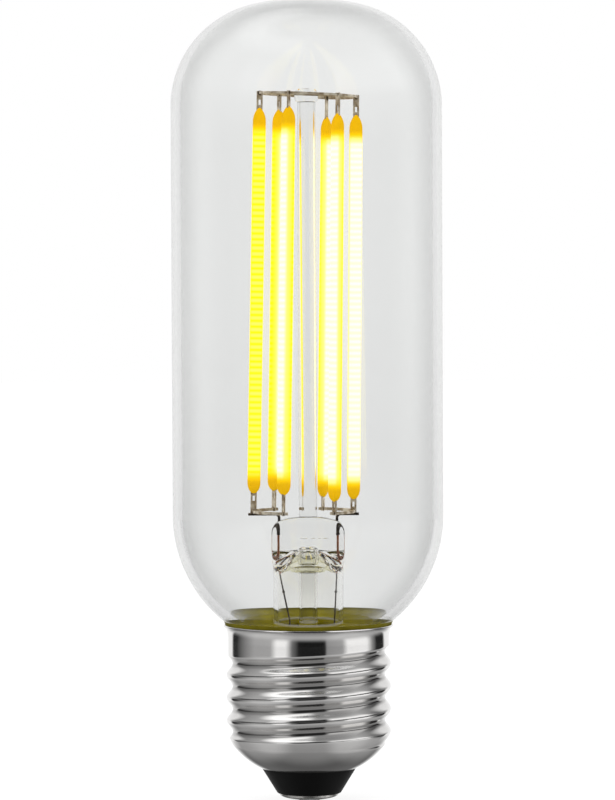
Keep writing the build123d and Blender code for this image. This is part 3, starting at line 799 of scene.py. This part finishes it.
def stem_rings():
    """Rings of the stem's glass: from the exhaust tube's tip up inside the flare, over its rim and up outside."""
    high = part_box("glass_stem")[1]
    rim = high.x / MM - 0.05
    top = high.z / MM
    pipe, bore, tube = EXHAUST_RADIUS, FLARE_BORE, FLARE_TUBE_RADIUS
    inner = bend((0.3, EXHAUST_TIP), (pipe, EXHAUST_TIP), (pipe, EXHAUST_TIP + 1.2), 6)
    inner += straight((pipe, EXHAUST_TIP + 1.6), (pipe, CUP_FOOT - 0.4), 8)
    inner += bend((pipe, CUP_FOOT), (CUP_RADIUS, CUP_FOOT), (CUP_RADIUS, CUP_FOOT + 2.0), 8)
    inner += bend((CUP_RADIUS + 0.1, ROOF), (bore - 0.6, PRESS_FOOT + 0.4), (bore, PRESS_FOOT - 0.7), 8)
    inner += straight((bore, PRESS_FOOT - 1.0), (bore, FLARE_TUBE_FOOT), 5)
    inner += bend((bore, FLARE_TUBE_FOOT - 0.4), (bore, FLARE_BELL - 0.6), (rim - 0.9, FLARE_RIM + 0.3), 14)
    outer = [(rim - 0.7, FLARE_RIM), (rim, FLARE_RIM)]
    outer += bend((rim, FLARE_BELL), (tube, FLARE_BELL + 0.2), (tube, FLARE_TUBE_FOOT), 16)
    outer += straight((tube, FLARE_TUBE_FOOT + 0.8), (tube, PRESS_FOOT), 6)
    rings = [(z, r, r, 2.0) for r, z in inner + outer]
    for i in range(1, 25):
        z = PRESS_FOOT + (PRESS_TOP - PRESS_FOOT) * i / 24
        flat = ease(z, PRESS_FOOT - 1.2, ROOF + 0.4)
        across = tube + (PRESS_HALF_WIDTH - tube) * flat
        deep = tube + (PRESS_HALF_DEPTH - tube) * flat
        over = max(0.0, z - (PRESS_TOP - SHOULDER_ROUND))
        cut = SHOULDER_ROUND - math.sqrt(max(0.0, SHOULDER_ROUND**2 - over**2))
        rings.append((z, across - cut, deep - 0.25 * cut, 2.0 + 6.0 * flat))
    width = PRESS_HALF_WIDTH - SHOULDER_ROUND
    thickness = PRESS_HALF_DEPTH - 0.25 * SHOULDER_ROUND
    for share in (0.25, 0.5, 0.75, 1.0):
        across = width + (POST_RADIUS - width) * share
        deep = thickness + (POST_RADIUS - thickness) * share
        rings.append((PRESS_TOP + 0.3 * math.sin(share * math.pi / 2), across, deep, 8.0 - 6.0 * share))
    button = top - BUTTON_HEIGHT
    middle = button + BUTTON_HEIGHT / 2
    post = [(POST_RADIUS, PRESS_TOP + 0.6)]
    post += straight((POST_RADIUS, PRESS_TOP + 2), (POST_RADIUS, button - 0.4), 12)
    post += bend((POST_RADIUS, button), (BUTTON_RADIUS, button), (BUTTON_RADIUS, middle), 8)
    post += bend((BUTTON_RADIUS, middle), (BUTTON_RADIUS, top), (BUTTON_RADIUS * 0.4, top), 10)[1:]
    return rings + [(z, r, r, 2.0) for r, z in post]


def loft(shape, rings, inside_out=False):
    """Skins a row of rings and closes both ends."""
    rows = [[shape.verts.new(p) for p in ring_of(*ring)] for ring in rings]
    faces = []
    for first, second in zip(rows, rows[1:]):
        for i in range(SEGMENTS):
            j = (i + 1) % SEGMENTS
            faces.append(shape.faces.new((first[i], first[j], second[j], second[i])))
    faces.append(shape.faces.new(rows[0][::-1]))
    faces.append(shape.faces.new(rows[-1]))
    if inside_out:
        bmesh.ops.reverse_faces(shape, faces=faces)


def stem_piece(material, roof_material):
    """Flare, press, exhaust tube, post and button in one body of glass, with the tube's bore inside it."""
    shape = bmesh.new()
    loft(shape, stem_rings())
    bore = straight((EXHAUST_BORE, EXHAUST_TIP + 0.6), (EXHAUST_BORE, CUP_FOOT), 6)
    bore += bend((EXHAUST_BORE, CUP_FOOT + 0.4), (CUP_BORE, CUP_FOOT + 0.4), (CUP_BORE, ROOF - 0.2), 8)
    bore += bend((CUP_BORE, ROOF), (CUP_BORE, ROOF + 0.8), (0.3, ROOF + 0.9), 8)
    loft(shape, [(z, r, r, 2.0) for r, z in bore], inside_out=True)
    for start, length in SEAM_BUBBLES:
        thin = [(-1.0, 0.15), (-0.5, 0.85), (0.0, 1.0), (0.5, 0.85), (1.0, 0.15)]
        rings = [(SEAM_HEIGHT + rise * SEAM_THICKNESS, length / 2 * size, 0.35 * size, 2.0, start + length / 2)
                 for rise, size in thin]
        loft(shape, rings, inside_out=True)
    mesh = bpy.data.meshes.new("stem_glass")
    shape.to_mesh(mesh)
    shape.free()
    mesh.shade_smooth()
    mesh.set_sharp_from_angle(angle=math.radians(60))
    mesh.materials.append(material)
    mesh.materials.append(roof_material)
    # Faces under the roof take the glass with the painted olive reflection of the cement
    for face in mesh.polygons:
        if face.normal.z < -0.2 and PRESS_FOOT - 0.8 < face.center.z / MM < ROOF + 0.2:
            face.material_index = 1
    piece = bpy.data.objects.new("stem_glass", mesh)
    bpy.context.scene.collection.objects.link(piece)
    dress(piece, "clear_glass", "glass_stem")
    return piece


def cage_points(number):
    """Where a filament's tabs cross its rail and the ring, and its azimuth in radians."""
    azimuth = math.radians(FIRST_AZIMUTH + 360 / FILAMENT_COUNT * (number - 1))
    away = Vector((math.cos(azimuth), math.sin(azimuth), 0))
    foot = Vector((RAIL_SHIFT, 0, RAIL_HEIGHT)) + away * RAIL_RADIUS
    tilt = Matrix.Rotation(math.radians(RING_TILT), 3, "Y")
    head = Vector((RING_SHIFT, 0, RING_HEIGHT)) + tilt @ (away * RING_RADIUS)
    return foot, head, azimuth


def filament_pieces(material):
    """The six strips, each on the line from its rail to the ring."""
    for number in range(1, FILAMENT_COUNT + 1):
        foot, head, azimuth = cage_points(number)
        run = (head - foot).normalized()
        lift = TAB_REACH - math.copysign(FILAMENT_STEP, math.cos(azimuth))
        piece = point_row(f"glowing_filament_{number}", [(0, 0, 0)])
        grow(piece, STRIP, Length=FILAMENT_LENGTH * MM, Width=FILAMENT_WIDTH * MM,
             Thickness=FILAMENT_THICKNESS * MM, Lower_Taper=LOWER_TAPER * MM, Upper_Taper=UPPER_TAPER * MM,
             Rows=STRIP_ROWS, Chip_Turn=math.radians(CHIP_TURNS[number - 1]), Material=material)
        settle(piece, 60)
        lean = Matrix.Rotation(-math.atan2(run.y, run.z), 4, "X") @ Matrix.Rotation(math.asin(run.x), 4, "Y")
        twist = math.radians(FILAMENT_TWISTS[number - 1])
        turn = Matrix.Rotation(azimuth + twist, 4, "Z") @ Matrix.Translation((0, 0, lift * MM))
        piece.data.transform(Matrix.Translation(foot * MM) @ lean @ turn)
        dress(piece, "phosphor", f"filament_{number}")


def weld_points():
    """Where the tabs cross the ring and the rails."""
    return [tuple(point) for number in range(1, FILAMENT_COUNT + 1) for point in cage_points(number)[:2]]


def bead_piece(name, points, radius, material, slot, seed):
    piece = point_row(name, points)
    grow(piece, BEADS, Radius=radius * MM, Seed=seed, Material=material)
    settle(piece, 180)
    dress(piece, slot)
    return piece


# Studio


def straight_on(nodes, path):
    """1 for a ray that no mirror has turned on its way."""
    return nodes.math("LESS_THAN", path["Glossy Depth"], 0.5)


def studio_floor():
    """Pale floor under the lamp, white to the camera and through glass, with a faint shadow."""
    bpy.ops.mesh.primitive_plane_add(size=FLOOR_SIZE, location=(0, 0, -FLOOR_DROP))
    floor = bpy.context.object
    floor.name = "studio_floor"
    material = bpy.data.materials.new("studio_white")
    material.use_nodes = True
    nodes = Nodes(material.node_tree)
    nodes.tree.nodes.clear()
    paper = nodes.add("ShaderNodeBsdfDiffuse", {"Color": grey(FLOOR_GREY)}).outputs[0]
    path = nodes.add("ShaderNodeLightPath").outputs
    shine = nodes.math("MULTIPLY", path["Is Camera Ray"], FLOOR_GLOW)
    glow = nodes.add("ShaderNodeEmission", {"Strength": shine}).outputs[0]
    both = nodes.add("ShaderNodeAddShader", {0: paper, 1: glow}).outputs[0]
    spot = place(nodes)
    reach = nodes.math("ADD", axis_distance(nodes, spot), 0.02)
    backward = nodes.smooth(nodes.math("DIVIDE", nodes.parts(spot)["Y"], reach), *BEHIND_FADE)
    behind = nodes.math("MULTIPLY_ADD", backward, 1.0 - BEHIND_LEAST, BEHIND_LEAST)
    clear = nodes.math("MAXIMUM", straight_on(nodes, path), behind)
    white = nodes.add("ShaderNodeEmission", {"Strength": clear}).outputs[0]
    seen = nodes.add("ShaderNodeMixShader", {0: path["Is Transmission Ray"], 1: both, 2: white}).outputs[0]
    nodes.add("ShaderNodeOutputMaterial", {"Surface": seen})
    floor.data.materials.append(material)
    floor.visible_glossy = False


def band(nodes, where, stops):
    """Grey level at a place between the stops of a ramp."""
    node = nodes.add("ShaderNodeValToRGB", {"Fac": where})
    elements = node.color_ramp.elements
    while len(elements) < len(stops):
        elements.new(0.5)
    for element, (position, level) in zip(elements, stops):
        element.position = position
        element.color = grey(level)
    return node.outputs["Color"]


def by_azimuth(lights):
    """Stops in degrees from the front as shares of the way round from the back."""
    return [(angle / 360 + 0.5, level) for angle, level in lights]


def studio_world():
    """White to the camera and through glass; bright boxes and dark flags round the lamp for what reflects."""
    world = bpy.data.worlds.new("studio")
    bpy.context.scene.world = world
    world.use_nodes = True
    nodes = Nodes(world.node_tree)
    nodes.tree.nodes.clear()
    way = nodes.parts(nodes.add("ShaderNodeTexCoord").outputs["Generated"])
    azimuth = nodes.math("ARCTAN2", way["X"], nodes.math("MULTIPLY", way["Y"], -1.0))
    share = nodes.math("MULTIPLY_ADD", azimuth, 0.5 / math.pi, 0.5)
    low = band(nodes, share, by_azimuth(LOW_LIGHTS))
    level = band(nodes, share, LEVEL_LIGHTS)
    high = band(nodes, share, by_azimuth(HIGH_LIGHTS))
    roof = band(nodes, way["Z"], ROOF_LIGHTS)
    box = nodes.math("MULTIPLY", band(nodes, way["Z"], OVERHEAD_BOX), nodes.smooth(way["X"], BOX_EDGE, -BOX_EDGE))
    overhead = nodes.mix(box, roof, grey(BOX_GLOW))
    upper = nodes.mix(nodes.smooth(way["Z"], 0.5, 0.85), high, overhead)
    ground = band(nodes, nodes.math("MULTIPLY_ADD", way["Z"], 0.5, 0.5), GROUND_LIGHTS)
    shade = nodes.math("MULTIPLY", nodes.smooth(way["Y"], -0.1, 0.5), 0.65)
    beside = nodes.math("MULTIPLY", nodes.smooth(nodes.math("ABSOLUTE", way["X"]), 0.25, 0.6), 0.3)
    earth = nodes.mix(beside, nodes.mix(shade, ground, BLACK), WHITE)
    # From the ground up: low lights, a level band, high lights and the roof
    room = nodes.mix(nodes.smooth(way["Z"], -0.5, -0.2), earth, low)
    room = nodes.mix(nodes.smooth(way["Z"], -0.075, -0.06), room, level)
    room = nodes.mix(nodes.smooth(way["Z"], 0.06, 0.3), room, upper)
    path = nodes.add("ShaderNodeLightPath").outputs
    clear = nodes.math("MAXIMUM", straight_on(nodes, path), nodes.smooth(way["Y"], *BEHIND_FADE))
    through_glass = nodes.math("MULTIPLY", path["Is Transmission Ray"], clear)
    through = nodes.math("MAXIMUM", path["Is Camera Ray"], through_glass)
    mirrored = nodes.math("MAXIMUM", path["Is Glossy Ray"], path["Is Transmission Ray"])
    soft = nodes.mix(mirrored, grey(SOFT_GLOW), room)
    colour = nodes.mix(through, soft, WHITE)
    back = nodes.add("ShaderNodeBackground", {"Color": colour, "Strength": 1.0}).outputs[0]
    nodes.add("ShaderNodeOutputWorld", {"Surface": back})


def softbox(name, spot, size, power):
    """A square soft light that faces the lamp's middle and stays out of reflections and glass."""
    lamp = bpy.data.lights.new(name, "AREA")
    lamp.size = size
    lamp.energy = power
    box = bpy.data.objects.new(name, lamp)
    bpy.context.scene.collection.objects.link(box)
    box.location = spot
    aim = Vector((0, 0, AIM_HEIGHT * MM)) - Vector(spot)
    box.rotation_euler = aim.to_track_quat("-Z", "Y").to_euler()
    box.visible_glossy = False
    box.visible_transmission = False


def studio_camera():
    """A long lens a little above the lamp's middle, aimed slightly down."""
    data = bpy.data.cameras.new("camera")
    data.sensor_width = SENSOR
    data.lens = SENSOR * FOCAL_PIXELS / PICTURE_HEIGHT
    camera = bpy.data.objects.new("camera", data)
    bpy.context.scene.collection.objects.link(camera)
    spot = Vector((0, -CAMERA_DISTANCE, CAMERA_HEIGHT)) * MM
    aim = Vector((0, 0, AIM_HEIGHT)) * MM
    turn = (aim - spot).to_track_quat("-Z", "Y").to_matrix().to_4x4()
    roll = Matrix.Rotation(math.radians(CAMERA_ROLL), 4, "Z")
    camera.matrix_world = Matrix.Translation(spot) @ turn @ roll
    bpy.context.scene.camera = camera


# The lamp

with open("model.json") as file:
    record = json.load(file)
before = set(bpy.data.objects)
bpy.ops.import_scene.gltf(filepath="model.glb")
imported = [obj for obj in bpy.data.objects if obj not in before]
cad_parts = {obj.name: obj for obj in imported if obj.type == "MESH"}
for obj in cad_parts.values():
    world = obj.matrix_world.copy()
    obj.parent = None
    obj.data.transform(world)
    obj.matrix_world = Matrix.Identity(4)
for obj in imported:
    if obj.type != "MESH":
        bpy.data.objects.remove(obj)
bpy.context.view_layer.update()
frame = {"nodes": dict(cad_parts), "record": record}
bpy.context.scene.view_settings.view_transform = "Standard"

TURNING = turning_tree()
THREADING = thread_tree()
STRIP = filament_tree()
BEADS = bead_tree()

# Envelope: painted shade in its tint, darker towards the foot and in the bowl and the dome
envelope_glass = blown_glass(
    "envelope_glass", foot_painted_tint=(0.9, 0.905, 0.902), head_painted_tint=(0.945, 0.95, 0.946), foot=34.0, head=88.0,
    edge_grey=0.25, waviness=0.008, end_gloss=0.4)
# Stem: painted olive on the flare below its tube's foot, a painted view of the cement through the glass
stem_glass = blown_glass(
    "stem_glass", foot_painted_tint=(0.98, 0.978, 0.962), head_painted_tint=(0.985, 0.985, 0.978), foot=37.5, head=43.0,
    edge_grey=0.0, waviness=0.02, painted_cement_height=FLARE_TUBE_FOOT)
# Stem's roof: a painted olive reflection of the cement in its tint
roof_painted_reflection = blown_glass(
    "olive_lit_glass", foot_painted_tint=(0.86, 0.84, 0.64), head_painted_tint=(0.93, 0.92, 0.8), foot=37.0, head=41.0,
    edge_grey=0.0, waviness=0.02)
plating = plated_metal("bright_plating")
insulator = black_insulator("black_glass")
cement = olive_cement("olive_cement")
phosphor = glowing_phosphor("glowing_phosphor")
cage_metal = dull_metal("rolled_cage_wire", (0.36, 0.27, 0.17), (0.82, 0.74, 0.6), 0.5, bare=0.6)
weld_metal = dull_metal("burnt_weld", (0.05, 0.035, 0.025), (0.3, 0.22, 0.15), 0.5)
lead_metal = dull_metal("dark_lead_wire", (0.07, 0.055, 0.045), (0.2, 0.16, 0.13), 0.55)
copper_metal = dull_metal("copper_wire", (0.5, 0.16, 0.07), (0.75, 0.36, 0.22), 0.45)
solder_metal = dull_metal("soft_solder", (0.45, 0.45, 0.44), (0.66, 0.66, 0.65), 0.45)
contact_metal = dull_metal("plated_contact", (0.55, 0.54, 0.52), (0.75, 0.74, 0.72), 0.4)

thread = {
    "Root": ROOT_RADIUS * MM, "Crest": CREST_RADIUS * MM, "Pitch": PITCH * MM,
    "Groove": (THREAD_FOOT - THREAD_DROP - PITCH * THREAD_START / 360 + PITCH * GROOVE_TURNS) * MM,
    "Foot": THREAD_FOOT * MM, "Run_Out": RUN_OUT * MM, "Collar": COLLAR_RADIUS * MM,
    "Collar_Foot": COLLAR_FOOT * MM, "Skin": SHELL_WALL / 2 * MM,
    "Fade_From": math.radians(GROOVE_FADE[0]), "Fade_To": math.radians(GROOVE_FADE[1]),
}
bulb = turned_piece("clear_envelope", envelope_section(), envelope_glass, "clear_glass", "glass_envelope",
                    segments=2 * SEGMENTS)
stem = stem_piece(stem_glass, roof_painted_reflection)
for glass in (bulb, stem):
    glass.visible_shadow = False
turned_piece("threaded_shell", shell_section(), plating, "cap_metal", "screw_shell", thread=thread, sharp=50)
turned_piece("insulator_cone", insulator_section(), insulator, "black_insulator", "cap_insulator")
turned_piece("contact_disc", contact_section(), contact_metal, "contact_metal", "centre_contact")
turned_piece("solder_drop", solder_section(), solder_metal, "solder", "contact_solder",
             grain=900.0, grain_depth=0.08)
turned_piece("cement_ring", cement_section(), cement, "olive_cement", "basing_cement",
             grain=1500.0, grain_depth=0.08, sharp=70)
filament_pieces(phosphor)
bead_piece("cage_welds", weld_points(), WELD_RADIUS, weld_metal, "cage_wire", WELD_SEED)
bead_piece("lead_knots", LEAD_KNOTS, KNOT_RADIUS, lead_metal, "lead_wire", KNOT_SEED)

finishes = {
    "cage_wire": cage_metal,
    "lead_wire": lead_metal,
    "copper_wire": copper_metal,
    "board_laminate": moulded("board_lacquer", (0.02, 0.12, 0.05), (0.05, 0.22, 0.1), 0.35),
    "moulded_black": moulded("moulded_black", (0.01, 0.01, 0.011), (0.04, 0.04, 0.042), 0.5),
    "ferrite": moulded("ferrite_grey", (0.06, 0.055, 0.055), (0.14, 0.13, 0.13), 0.6),
    "capacitor_sleeve": moulded("dark_sleeve", (0.01, 0.014, 0.03), (0.03, 0.04, 0.07), 0.3),
    "ceramic": moulded("glazed_ceramic", (0.5, 0.48, 0.43), (0.62, 0.6, 0.55), 0.4),
}
for subpart in frame["record"]["subparts"]:
    material = finishes.get(subpart["material_slot"])
    if material:
        mesh = frame["nodes"][subpart["node"]].data
        mesh.materials.clear()
        mesh.materials.append(material)

studio_floor()
studio_world()
for light in SOFTBOXES:
    softbox(*light)
studio_camera()
